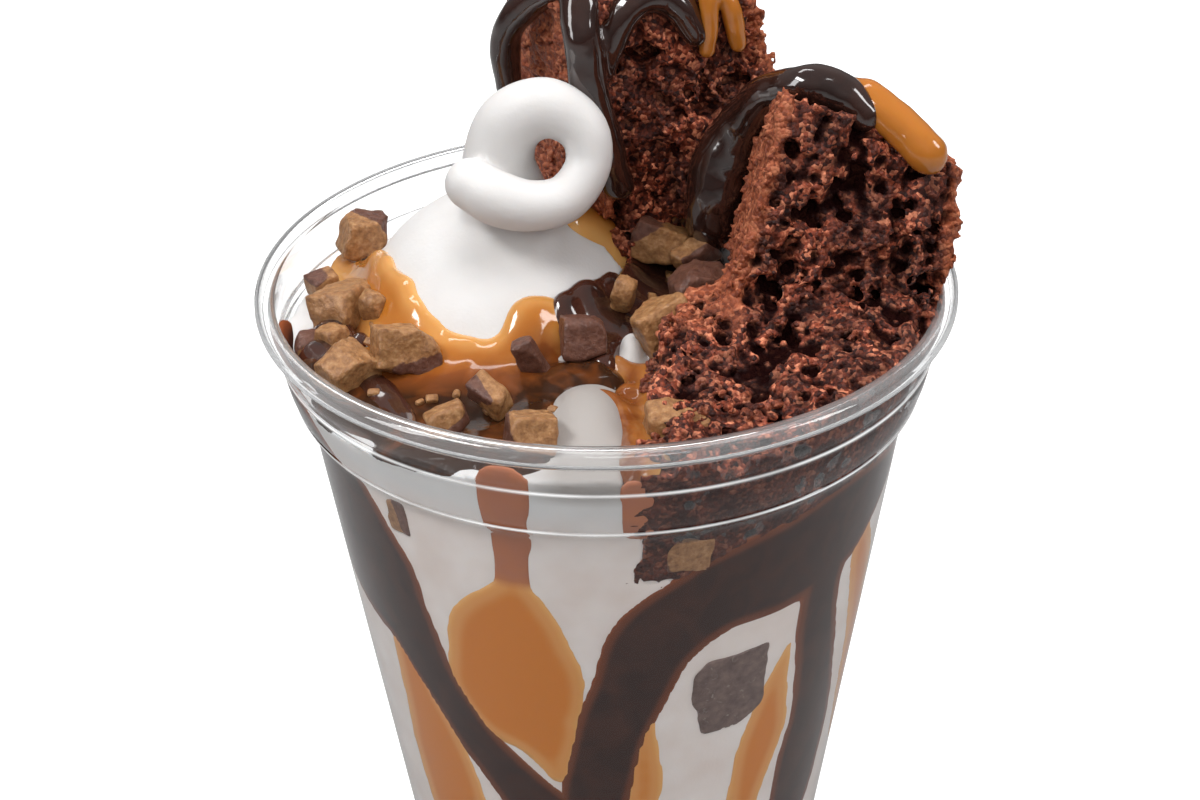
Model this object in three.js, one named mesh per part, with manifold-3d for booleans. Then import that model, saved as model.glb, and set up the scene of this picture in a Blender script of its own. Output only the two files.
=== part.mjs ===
// Ice cream sundae in its clear plastic cup: soft serve with a curl on top, two brownie pieces,
// fudge and caramel on the wall and over the top, and chopped candy.
// Millimetres, +Z up, origin on the axis of the cup at its base. -Y is the front.
import * as THREE from 'three';
import { mergeVertices } from 'three/addons/utils/BufferGeometryUtils.js';
import Module from 'manifold-3d';

const wasm = await Module();
wasm.setup();

// ---- driving dimensions of the cup ----
const cupHeight = 108;
const rimRadius = 49;
const rimThroat = 46.2;
const wall = 0.8;
const baseRadius = 30.6;
const wallSlope = 0.135;
const wallTop = 91;
const ridgeLow = 93.1;
const ridgeHigh = 100;
const neckTop = 105.2;
const ridgeLowRadius = 44.8;
const ridgeHighRadius = 46.45;
const neckRadius = 46.9;
const ridgeSpan = 3;
const ridgeBulge = 0.9;
const rimRound = 0.7;
const footRound = 1;
const footWidth = 5;
const footLift = 1.6;
const aroundCup = 36;

// ---- the filling ----
const gap = 0.3;
const joinTolerance = 1e-4;
const floorTop = footLift + wall;
const cornerTop = floorTop + 2;
const cornerWidth = 1.8;
const levelCentre = 100.5;
const levelRiseX = 0.03;
const levelRiseY = -0.045;
const sauceDepth = 1.7;
const wallScale = 40;
const dome = { x: -15, y: 10, z: 92, a: 21.5, b: 25, c: 22 };
const openTop = 170;
const openRadius = 60;

// ---- how strands and bands narrow to their ends, and how uneven the broken faces are ----
const strandEnd = 0.45;
const strandBlunt = 8;
const bandEnd = 0.3;
const bandBlunt = 6;
const bandThin = 0.55;
const blockWave = 0.5;
const footWave = 0.3;
const blockGrow = 1.8;
const candyGrow = 2.6;
const candyChip = 0.18;
const candyTip = 0.35;
const candySink = 0.4;

// ---- colours ----
const colours = {
  clear: { color: 0xe8ecee, roughness: 0.05, metalness: 0, transparent: true, opacity: 0.3 },
  cream: { color: 0xece9e6, roughness: 0.45, metalness: 0 },
  crumb: { color: 0x5a2d23, roughness: 0.85, metalness: 0 },
  fudge: { color: 0x281614, roughness: 0.12, metalness: 0 },
  caramel: { color: 0xc07a34, roughness: 0.15, metalness: 0 },
  candy: { color: 0xb88c5c, roughness: 0.6, metalness: 0 },
  chocolate: { color: 0x64413a, roughness: 0.5, metalness: 0 },
};

// ---- solids ----
function solid(geometry) {
  const bare = geometry.clone();
  bare.deleteAttribute('normal');
  bare.deleteAttribute('uv');
  const merged = mergeVertices(bare, joinTolerance);
  const vertProperties = new Float32Array(merged.attributes.position.array);
  const triVerts = new Uint32Array(merged.index.array);
  return new wasm.Manifold(new wasm.Mesh({ numProp: 3, vertProperties, triVerts }));
}

function largest(body) {
  const bodies = body.decompose();
  bodies.sort((p, q) => q.volume() - p.volume());
  return bodies[0];
}

function join(bodies) {
  return bodies.reduce((sum, body) => sum.add(body));
}

function cut(body, tools) {
  return tools.reduce((rest, tool) => rest.subtract(tool), body);
}

function moveVertices(geometry, place) {
  const position = geometry.attributes.position;
  const point = new THREE.Vector3();
  for (let i = 0; i < position.count; i += 1) {
    point.fromBufferAttribute(position, i);
    place(point);
    position.setXYZ(i, point.x, point.y, point.z);
  }
  return geometry;
}

function turned(profile) {
  const points = profile.map(([radius, z]) => new THREE.Vector2(radius, z));
  const geometry = new THREE.LatheGeometry(points, aroundCup);
  return geometry.rotateX(Math.PI / 2);
}

function ellipsoid(x, y, z, a, b, c, detail = 12) {
  const geometry = new THREE.SphereGeometry(1, 2 * detail, detail);
  return solid(geometry.scale(a, b, c).translate(x, y, z));
}

// a round strand through points [x, y, z, radius]
function strand(points, grow = 0, sides = 6, steps = points.length + 2) {
  const line = new THREE.CatmullRomCurve3(points.map(([x, y, z]) => new THREE.Vector3(x, y, z)));
  const fat = new THREE.CatmullRomCurve3(points.map((p, i) => new THREE.Vector3(i, p[3], 0)));
  const frames = line.computeFrenetFrames(steps);
  const geometry = moveVertices(new THREE.CylinderGeometry(1, 1, 1, sides, steps), (point) => {
    const t = point.y + 0.5;
    const step = Math.round(t * steps);
    const end = Math.sqrt(1 - Math.min(1, Math.abs(2 * t - 1)) ** strandBlunt);
    const radius = (fat.getPoint(t).y + grow) * Math.max(end, strandEnd);
    const longer = end < strandEnd ? Math.sign(t - 0.5) * grow : 0;
    const place = line.getPoint(t);
    place.addScaledVector(frames.normals[step], point.x * radius);
    place.addScaledVector(frames.binormals[step], -point.z * radius);
    place.addScaledVector(frames.tangents[step], longer);
    point.copy(place);
  });
  return solid(geometry);
}

// a six-sided block through eight corners, front four first: bottom left, bottom right, top left,
// top right, then the same four at the back
function block(corners, grow = 0, divisions = [4, 2, 5], uneven = blockWave) {
  const [right, back, up] = divisions;
  const points = corners.map(([x, y, z]) => new THREE.Vector3(x, y, z));
  const middle = points.reduce((sum, p) => sum.add(p), new THREE.Vector3()).divideScalar(8);
  const mix = (p, q, t) => p.clone().lerp(q, t);
  const geometry = moveVertices(new THREE.BoxGeometry(1, 1, 1, right, back, up), (point) => {
    const [s, t, u] = [point.x + 0.5, point.y + 0.5, point.z + 0.5];
    const low = mix(mix(points[0], points[1], s), mix(points[4], points[5], s), t);
    const high = mix(mix(points[2], points[3], s), mix(points[6], points[7], s), t);
    const place = low.lerp(high, u);
    const wave = Math.sin(place.x * 0.7 + place.z * 0.45) + Math.sin(place.y * 0.8 - place.z * 0.6);
    const outward = place.clone().sub(middle).normalize();
    point.copy(place.addScaledVector(outward, uneven * wave + blockGrow * grow));
  });
  return solid(geometry);
}

// ---- the cup and the space inside it ----
function coneRadius(z) {
  return baseRadius + wallSlope * z - wall;
}

function innerRadius(z) {
  const stations = [
    [0, baseRadius],
    [wallTop, baseRadius + wallSlope * wallTop],
    [ridgeLow, ridgeLowRadius - gap],
    [ridgeHigh, ridgeHighRadius - gap],
    [neckTop, neckRadius],
    [cupHeight, neckRadius],
  ];
  const next = Math.max(1, stations.findIndex(([height]) => height >= z));
  const [z0, r0] = stations[next - 1];
  const [z1, r1] = stations[next];
  return r0 + ((r1 - r0) * (z - z0)) / (z1 - z0) - wall;
}

function cupSolid() {
  const wallTopRadius = baseRadius + wallSlope * wallTop;
  const outside = [
    [0, footLift],
    [baseRadius - 2 * footRound - footWidth, footLift],
    [baseRadius - footRound - footWidth, 0],
    [baseRadius - footRound, 0],
    [baseRadius, footRound],
    [wallTopRadius, wallTop],
    [ridgeLowRadius, ridgeLow],
    [ridgeLowRadius + ridgeBulge, ridgeLow + ridgeSpan],
    [ridgeHighRadius, ridgeHigh],
    [neckRadius, ridgeHigh + ridgeSpan],
    [neckRadius, neckTop - rimRound],
  ];
  const roll = [
    [rimRadius - rimRound, neckTop],
    [rimRadius, neckTop + rimRound],
    [rimRadius, cupHeight - rimRound],
    [rimRadius - rimRound, cupHeight],
    [rimThroat + rimRound, cupHeight],
    [rimThroat, cupHeight - rimRound],
    [rimThroat, neckTop - rimRound],
  ];
  const inside = [
    [innerRadius(ridgeHigh), ridgeHigh],
    [innerRadius(ridgeLow), ridgeLow],
    [innerRadius(wallTop), wallTop],
    [innerRadius(cornerTop), cornerTop],
    [innerRadius(floorTop) - cornerWidth, floorTop],
    [0, floorTop],
  ];
  return solid(turned([...outside, ...roll, ...inside]));
}

function spaceInside() {
  return solid(turned([
    [0, floorTop + gap],
    [innerRadius(floorTop) - cornerWidth - gap, floorTop + gap],
    [innerRadius(cornerTop) - gap, cornerTop + gap],
    [innerRadius(wallTop) - gap, wallTop],
    [innerRadius(ridgeLow) - gap, ridgeLow],
    [innerRadius(ridgeHigh) - gap, ridgeHigh],
    [rimThroat - gap, neckTop - rimRound],
    [rimThroat - gap, cupHeight],
    [rimThroat, cupHeight + gap],
    [openRadius, cupHeight + gap],
    [openRadius, openTop],
    [0, openTop],
  ]));
}

// ---- soft serve ----
function level(x, y) {
  const pool = Math.exp(-(((x + 21) / 15) ** 2) - ((y + 27) / 11) ** 2);
  const stream = Math.exp(-(((x - 4) / 3) ** 2) - ((y + 28) / 14) ** 2);
  return levelCentre + levelRiseX * x + levelRiseY * y - 3 * pool - 2 * stream;
}

function filling(grow) {
  const rings = 5;
  const inset = 1.5 * gap - grow;
  const foot = floorTop + inset;
  const profile = [[0, foot], [innerRadius(foot) - cornerWidth - inset, foot]];
  [cornerTop + inset, wallTop, ridgeLow].forEach((z) => profile.push([innerRadius(z) - inset, z]));
  const topEdge = innerRadius(ridgeHigh) - gap - inset;
  for (let ring = 0; ring <= rings; ring += 1) {
    profile.push([topEdge * (1 - ring / rings), levelCentre]);
  }
  return solid(moveVertices(turned(profile), (point) => {
    if (point.z > ridgeHigh) {
      point.z = level(point.x, point.y) + grow;
    }
  }));
}

const curlPath = [
  [-12, 8, 106, 8],
  [-14, 7, 116, 6],
  [-14.6, 6.2, 122, 5],
  [-12.6, 5.6, 127.6, 4.6],
  [-7.6, 4.8, 130, 4.1],
  [-2.9, 3.6, 127.4, 3.5],
  [-2.1, 2, 122.8, 3.2],
  [-5.2, -0.6, 119, 3.3],
  [-10, -2.2, 118.6, 3.5],
  [-14.6, -2.2, 119.8, 3.8],
  [-18.2, -0.4, 121.2, 3.6],
];

function softServe(grow) {
  return join([
    filling(grow),
    ellipsoid(dome.x, dome.y, dome.z, dome.a + grow, dome.b + grow, dome.c + grow, 8),
    ellipsoid(-3, -30.5, 96, 6.6 + grow, 12 + grow, 8 + grow, 5),
    ellipsoid(3.2, -12.5, 98, 3 + grow, 5.5 + grow, 5.6 + grow, 4),
    ellipsoid(-31, 18, 96, 8 + grow, 8 + grow, 5.5 + grow, 4),
    strand(curlPath, grow, 8, 18),
  ]);
}

// ---- sauce on the wall: a band through points [degrees round from the front, z, half width] ----
function wallBand(points, grow = 0, depth = sauceDepth) {
  const along = Math.ceil(1.6 * (points.length - 1));
  const proud = grow > 0 ? 5 * wall : -gap;
  const path = new THREE.CatmullRomCurve3(points.map(([turn, z, half]) => (
    new THREE.Vector3(THREE.MathUtils.degToRad(turn) * wallScale, z, half))));
  const geometry = new THREE.BoxGeometry(1, 1, 1, along, 2, 1);
  return solid(moveVertices(geometry, (point) => {
    const s = point.x + 0.5;
    const across = 2 * point.y;
    const outer = point.z > 0;
    const place = path.getPoint(s);
    const tangent = path.getTangent(s).setZ(0).normalize();
    const end = Math.sqrt(1 - Math.abs(2 * s - 1) ** bandBlunt);
    const half = place.z * Math.max(end, bandEnd) + grow;
    const longer = (2 * s - 1) * grow;
    const u = place.x - tangent.y * across * half + tangent.x * longer;
    const z = place.y + tangent.x * across * half + tangent.y * longer;
    const thick = depth * (1 - bandThin * across * across) + grow;
    const radius = coneRadius(z) + (outer ? proud : -gap - thick);
    const turn = u / wallScale;
    point.set(radius * Math.sin(turn), -radius * Math.cos(turn), z);
  }));
}

const bands = {
  fudge_left: [
    [[-84, 95, 7], [-72, 88, 13], [-60, 77.5, 13], [-48.5, 70, 8.2], [-42.5, 62.5, 5.4], [-37, 56, 4.6],
      [-31.2, 49.8, 4.6], [-22.9, 42.7, 5.2], [-14, 35.5, 6], [-4, 27, 4.5]],
  ],
  fudge_front: [
    [[66, 84, 5], [50, 82, 9], [35, 81, 8.6], [20, 79, 7.4], [9, 72.5, 6.8], [3.5, 63, 5.6],
      [-1.5, 53, 5.6], [-5, 42, 5.8], [-7, 30, 4]],
    [[47, 78, 5], [46.5, 68, 4.8], [49, 58, 5.4], [51, 48, 6.2], [51, 39, 7.6], [50, 28, 7]],
  ],
  fudge_back: [
    [[104, 88, 6], [118, 84, 8], [134, 74, 8], [146, 60, 7], [152, 44, 6.5], [154, 30, 5]],
  ],
  fudge_back_left: [
    [[-110, 54, 4], [-122, 66, 6], [-136, 74, 7], [-152, 68, 7], [-163, 54, 6.5], [-168, 38, 5.5]],
  ],
  caramel_left: [[[-49, 62, 2.4], [-47, 54, 4.6], [-45, 46, 6.6], [-43.5, 37, 8.2], [-43, 26, 7]]],
  caramel_blob: [
    [[-18.5, 98.5, 2.8], [-18.8, 88, 2.6], [-18.8, 81, 4.2], [-20.2, 73.5, 8], [-20.4, 65.5, 9.8],
      [-18.4, 57.5, 8.4], [-14, 51, 5], [-12, 46, 2.2]],
  ],
  caramel_drop: [[[7.5, 58, 1.2], [6.4, 51, 2.4], [6.6, 44, 2.8], [5, 36, 2.2]]],
  caramel_right: [[[38.6, 65, 1], [36, 58, 3.2], [35, 50, 4.2], [33, 41, 4.4], [31, 30, 4]]],
  caramel_far_right: [[[57, 79, 2.2], [63, 69, 4.4], [68, 59, 5.2], [72, 47, 5.2], [74, 34, 4]]],
  caramel_rear: [[[172, 92, 3], [176, 80, 6], [171, 66, 8], [177, 50, 6], [182, 36, 3.5]]],
  caramel_rear_left: [[[-92, 64, 2.4], [-96, 54, 5], [-93, 43, 6.4], [-97, 30, 4.6]]],
};

function bandSolid(name, grow = 0) {
  return join(bands[name].map((points) => wallBand(points, grow, sauceDepth + grow)));
}

// ---- brownies ----
const brownieBack = [
  [2.5, 8.5, 101], [31, 17, 103], [-3.4, 10.6, 144.6], [19.8, 16.4, 141.6],
  [-9, 27, 100], [18, 36, 102], [-13.2, 26.5, 139.5], [9.5, 34.5, 142.8],
];
const brownieRight = [
  [12.5, -19.5, 92], [44.6, -12.5, 92], [24.2, -7, 135.4], [47.6, -5.2, 123.9],
  [13, -4, 91], [43.2, 5.5, 92], [23.8, 7.4, 132.8], [45.6, 9, 121],
];
const brownieFoot = [
  [3.5, -52, 84.5], [53, -32, 87], [-0.5, -52, 102.5], [43, -28, 105.6],
  [8, -12, 85], [45, -6, 89], [11, -12, 108], [43.5, -6, 112.5],
];

function brownieRightSolid(grow = 0) {
  return block(brownieRight, grow).add(block(brownieFoot, grow, [3, 2, 2], footWave));
}

// ---- sauce over the top: pools [x, y, z, a, b, c] and strands, half sunk on what carries them ----
const pools = {
  caramel_pool: [-19, -24, 99.6, 20.5, 14.5, 4.4],
  fudge_pool: [1, -5.4, 102.4, 10.5, 6.2, 3.4],
};
const strands = {
  caramel_collar: [
    [-34.2, 17, 101.5, 2.2], [-29.2, 6, 104.6, 2.6], [-25, -3.6, 104, 2.8], [-21.2, -10.4, 101.8, 3],
    [-16, -13.6, 101.2, 3], [-11.6, -10.6, 103.6, 2.6], [-8.2, -6.4, 105.6, 2.2],
  ],
  fudge_run: [[7.6, 1.4, 102.6, 4.2], [10, 7, 102.6, 4.8], [13.6, 10.6, 103, 4.8]],
  fudge_drip: [[-33, -16.5, 101.6, 1.8], [-28.6, -23.5, 103.2, 2.2], [-23.6, -34.5, 103.4, 1.6]],
  caramel_patch: [[-1.6, 10, 111, 2.2], [2.8, 12.6, 107.8, 3], [7, 15.6, 104.4, 2.8]],
  caramel_stream: [
    [1.4, -18.5, 101.2, 2], [4.2, -26, 100.8, 2.8], [4.8, -34.5, 101.4, 3.2], [3.6, -41, 101.4, 2.4],
  ],
  fudge_valley: [
    [16.4, 11.6, 106, 4], [16, 8.4, 112, 4.8], [17, 8.6, 119.4, 4.6], [19.4, 7.4, 126, 3.4],
    [22.2, 3, 132, 2.6], [26.4, -1.2, 135, 2.7], [31, -1.4, 134.2, 3], [34.8, -3, 131.6, 2.4],
  ],
  caramel_ribbon: [
    [32.6, 3.4, 132.6, 1.8], [35.4, -0.6, 132.8, 2.4], [39.4, -3.8, 130.2, 2.7], [42.8, -6.8, 127.4, 2.8],
  ],
  fudge_ribbon_left: [
    [-1.6, 14.4, 145.4, 2.4], [-7.4, 15.6, 143.4, 2.4], [-12, 17.2, 138.4, 2.3], [-13.6, 18.6, 133.4, 2.2],
    [-13.4, 19, 127.4, 1.8],
  ],
  fudge_ribbon_centre: [
    [-5, 19, 144.6, 2.4], [-3.4, 12, 144.8, 2.8], [-2.6, 8.4, 138.6, 2.8], [-1.8, 7.8, 131.6, 2.6],
    [0.2, 8, 124.4, 2.5], [2, 8.4, 116.6, 2.2],
  ],
  fudge_ribbon_arc: [
    [0.4, 10.2, 133, 1.6], [2, 11.4, 139.2, 2.4], [5.8, 13, 142.4, 2.6], [10, 13.6, 141.4, 2.6],
    [13, 13.4, 137, 1.8],
  ],
  caramel_drip_a: [
    [12.6, 19, 143.6, 1.3], [14.4, 14.6, 143, 1.4], [15, 13.4, 138, 1.3], [14.6, 13.4, 134.6, 1.2],
  ],
  caramel_drip_b: [
    [15.4, 20, 143, 1.3], [17, 15.8, 142.2, 1.4], [18.4, 15, 137.6, 1.6], [19, 15, 134.8, 1.4],
  ],
};

// ---- chopped candy: [x, y, z, long, deep, tall, turn] ----
const candies = [
  [-36.2, 20.6, 103.6, 6, 5.4, 6.8, 20],
  [-41.2, 9.6, 100.6, 4, 4.2, 4.4, 35],
  [-37, 0.8, 102, 6, 8.4, 5.6, -30],
  [-41.6, -7, 99.8, 3.6, 4, 4, 10],
  [-37.8, -7.6, 101.4, 4.2, 4.6, 4.2, 50],
  [-35, -18, 102.6, 6.6, 6, 6.6, 40],
  [-27.6, -14.4, 103.4, 8.8, 5.6, 5.8, 25],
  [-32.4, -2.4, 103, 3.4, 3.2, 6.6, -35],
  [-20.6, -32.4, 103, 5, 4, 3.6, 15],
  [-15.4, -27, 103.2, 5.4, 3.4, 4, -40],
  [-9.9, -36.6, 103.6, 6, 5, 4.6, 10],
  [-10.4, -17.6, 103.6, 3.4, 2.6, 6.6, -15],
  [-3.3, -13.4, 104, 5.6, 5, 5.6, 8],
  [2.4, -5.6, 106.4, 2.8, 2.8, 5.6, -20],
  [8.1, -12.6, 104.4, 7.4, 6.4, 8.4, 25],
  [8.6, -34.6, 102.4, 7.6, 5, 6.2, 5],
  [8, 9.6, 106.6, 7.4, 6, 5.6, -18],
  [12.8, 5.4, 106.8, 6.4, 3.4, 3.4, 28],
  [13.2, -3.4, 105.6, 7.8, 6.4, 6.6, 12],
  [9.4, 15.4, 109.4, 5.4, 4.4, 6, -35],
  [13.2, 13.4, 107.6, 4.6, 3.8, 4, 40],
];

function candySolid([x, y, z, long, deep, tall, turn], index, grow = 0) {
  const geometry = new THREE.BoxGeometry(long, deep, tall);
  moveVertices(geometry, (point) => {
    const corner = (point.x > 0 ? 1 : 0) + (point.y > 0 ? 2 : 0) + (point.z > 0 ? 4 : 0);
    const chip = 1 - candyChip + candyChip * Math.sin(2.3 * corner + 1.7 * index);
    point.multiplyScalar(chip * (1 + (candyGrow * grow) / Math.min(long, deep, tall)));
  });
  geometry.rotateX(candyTip * Math.sin(3 * index));
  geometry.rotateY(candyTip * Math.cos(2 * index));
  geometry.rotateZ(THREE.MathUtils.degToRad(turn));
  return solid(geometry.translate(x, y, z));
}

// candy against the wall: [degrees round from the front, z, wide, deep, tall]
const wallCandies = [
  [24.5, 60.5, 10, 5, 13],
  [14.2, 87.2, 5.6, 3.4, 5.6],
  [-41.5, 88.2, 3.4, 3, 5.4],
];

function wallCandySolid([turn, z, wide, deep, tall], grow = 0) {
  const angle = THREE.MathUtils.degToRad(turn);
  const sunk = (wide / 2) ** 2 / (2 * coneRadius(z)) + gap + candySink;
  const proud = grow > 0 ? 2 * wall : 0;
  const radius = coneRadius(z - tall / 2) - deep / 2 - sunk + proud;
  const geometry = new THREE.BoxGeometry(wide + 2 * grow, deep + 2 * (grow + proud), tall + 2 * grow);
  geometry.rotateX(Math.atan(wallSlope)).rotateZ(angle);
  return solid(geometry.translate(radius * Math.sin(angle), -radius * Math.cos(angle), z));
}

// ---- assembly: each piece keeps its gap to the ones that were there before it ----
const group = new THREE.Group();

function add(name, body, finish) {
  const mesh = body.getMesh();
  const geometry = new THREE.BufferGeometry();
  geometry.setAttribute('position', new THREE.BufferAttribute(mesh.vertProperties, 3));
  geometry.setIndex(new THREE.BufferAttribute(mesh.triVerts, 1));
  geometry.computeVertexNormals();
  const piece = new THREE.Mesh(geometry, new THREE.MeshStandardMaterial(colours[finish]));
  piece.name = name;
  group.add(piece);
}

const space = spaceInside();
const placed = [];

function addAfter(name, body, finish, grown, tools = placed) {
  add(name, largest(cut(body, tools)), finish);
  placed.push(grown);
}

add('cup', cupSolid(), 'clear');

Object.keys(bands).forEach((name) => {
  addAfter(name, bandSolid(name), name.split('_')[0], bandSolid(name, gap));
});
wallCandies.forEach((size, index) => {
  const finish = index === 0 ? 'chocolate' : 'candy';
  addAfter(`candy_wall_${index + 1}`, wallCandySolid(size), finish, wallCandySolid(size, gap));
});
candies.forEach((size, index) => {
  const name = `candy_${String(index + 1).padStart(2, '0')}`;
  addAfter(name, candySolid(size, index), 'candy', candySolid(size, index, gap));
});
addAfter('brownie_back', block(brownieBack).intersect(space), 'crumb', block(brownieBack, gap));
addAfter('brownie_right', brownieRightSolid().intersect(space), 'crumb', brownieRightSolid(gap));

add('soft_serve', largest(cut(softServe(0), placed)), 'cream');

const underSauce = softServe(gap);
Object.entries(pools).forEach(([name, [x, y, z, a, b, c]]) => {
  const body = ellipsoid(x, y, z, a, b, c, 7).intersect(space);
  const grown = ellipsoid(x, y, z, a + gap, b + gap, c + gap, 7);
  addAfter(name, body, name.split('_')[0], grown, [underSauce, ...placed]);
});
Object.entries(strands).forEach(([name, points]) => {
  const body = strand(points).intersect(space);
  addAfter(name, body, name.split('_')[0], strand(points, gap), [underSauce, ...placed]);
});

export default group;
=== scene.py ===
import functools
import math

import bpy
import numpy as np
from mathutils import Matrix, Vector


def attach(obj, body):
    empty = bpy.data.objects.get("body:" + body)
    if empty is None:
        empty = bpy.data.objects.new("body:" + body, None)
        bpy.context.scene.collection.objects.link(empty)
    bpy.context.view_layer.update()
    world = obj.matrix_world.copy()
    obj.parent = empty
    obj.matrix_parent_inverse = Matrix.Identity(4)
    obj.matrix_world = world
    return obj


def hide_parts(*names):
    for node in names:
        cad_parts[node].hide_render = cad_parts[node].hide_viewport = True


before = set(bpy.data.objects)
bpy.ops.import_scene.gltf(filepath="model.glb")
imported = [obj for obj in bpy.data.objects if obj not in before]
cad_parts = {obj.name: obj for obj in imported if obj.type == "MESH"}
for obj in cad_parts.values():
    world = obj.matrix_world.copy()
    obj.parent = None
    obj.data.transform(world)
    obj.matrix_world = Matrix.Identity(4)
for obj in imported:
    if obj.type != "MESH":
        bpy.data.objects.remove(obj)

MM = 0.001
# The distance that stands for nothing near.
FAR = 9.0
rng = np.random.default_rng(11)

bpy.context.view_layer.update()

# ---------------------------------------------------------------- sizes, in millimetres
CUP_HEIGHT = 108.0
WALL = 0.45
BASE_RADIUS = 30.6
WALL_SLOPE = 0.135
WALL_TOP = 91.0
RIDGE_LOW, RIDGE_LOW_RADIUS = 93.1, 44.8
RIDGE_HIGH, RIDGE_HIGH_RADIUS = 100.0, 46.45
NECK_RADIUS = 46.9
NECK_TOP = 105.2
FLOOR_TOP = 2.4
LEVEL_CENTRE = 100.5
RIM_CENTRE, RIM_RADIUS = 47.55, 1.12
RIM_HALF = 0.28
RIM_POINTS = 16
AROUND_CUP = 168
# How far the filling reaches into the inner skin of the wall, so that no air shows between them.
REACH_ICE = 0.1
REACH_SAUCE = 0.17
REACH_CRUMB = 0.23
# Millimetres of a flat band to a radian round the cup.
WALL_SCALE = 40.0
MOST_OUT = 49.0
TOP_LIMIT = 147.3
# Sides of a grid's cells.
ICE_STEP = 0.58
CRUMB_STEP = 0.44
LAYER_STEP = 0.5
RIBBON_STEP = 0.42
BAND_STEP = (0.75, 0.75, 0.45)


# ---------------------------------------------------------------- shapes
def unite(a, b, k):
    """Smooth union of two distances."""
    h = clamp(0.5 + 0.5 * (b - a) / k)
    return b + (a - b) * h - k * h * (1 - h)


def common(a, b, k):
    """Smooth intersection of two distances."""
    return -unite(-a, -b, k)


def joined(distances, k, join=unite):
    """Several distances joined one after another."""
    return functools.reduce(lambda a, b: join(a, b, k), distances)


def unit(vector):
    return vector / np.linalg.norm(vector)


def clamp(value):
    return np.clip(value, 0, 1)


def smooth_path(points, per_span):
    p = np.asarray(points, float)
    ends = np.vstack([2 * p[0] - p[1], p, 2 * p[-1] - p[-2]])
    t = (np.arange(per_span) / per_span)[:, None]
    spans = []
    for i in range(len(p) - 1):
        a, b, c, d = ends[i : i + 4]
        bend = (2 * a - 5 * b + 4 * c - d) * t**2 + (3 * b - a - 3 * c + d) * t**3
        spans.append(0.5 * (2 * b + (c - a) * t + bend))
    return np.vstack([*spans, p[-1:]])


def even_path(points, spacing):
    """The smooth path through points, sampled at an even spacing over its first three numbers."""
    fine = smooth_path(points, 24)
    steps = np.linalg.norm(np.diff(fine[:, :3], axis=0), axis=1)
    along = np.concatenate([[0], np.cumsum(steps)])
    at = np.linspace(0, along[-1], max(3, int(along[-1] / spacing) + 1))
    return np.stack([np.interp(at, along, fine[:, i]) for i in range(fine.shape[1])], 1)


def ellipsoid(x, y, z, centre, radii):
    q = [(a - c) / r for a, c, r in zip((x, y, z), centre, radii)]
    k0 = np.sqrt(sum(a**2 for a in q))
    k1 = np.sqrt(sum((a / r) ** 2 for a, r in zip(q, radii)))
    return k0 * (k0 - 1) / np.maximum(k1, 1e-9)


def ball(x, y, z, centre, radius):
    return np.sqrt((x - centre[0]) ** 2 + (y - centre[1]) ** 2 + (z - centre[2]) ** 2) - radius


def beyond(x, y, z, at, normal):
    """Distance beyond the plane through a point."""
    return (x - at[0]) * normal[0] + (y - at[1]) * normal[1] + (z - at[2]) * normal[2]


def outer_face(corners, face):
    """The middle of one face of a block with eight corners, and its outward normal."""
    corners = np.asarray(corners, float)
    q = corners[list(face)]
    normal = unit(np.cross(q[2] - q[0], q[3] - q[1]))
    at = q.mean(0)
    return at, normal if normal @ (at - corners.mean(0)) >= 0 else -normal


FACES = ((0, 1, 3, 2), (4, 5, 7, 6), (0, 2, 6, 4), (1, 3, 7, 5), (0, 1, 5, 4), (2, 3, 7, 6))


def block(x, y, z, corners, k):
    """Distance to a six-sided block with eight corners, its edges rounded by k."""
    return joined((beyond(x, y, z, *outer_face(corners, face)) for face in FACES), k, common)


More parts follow.
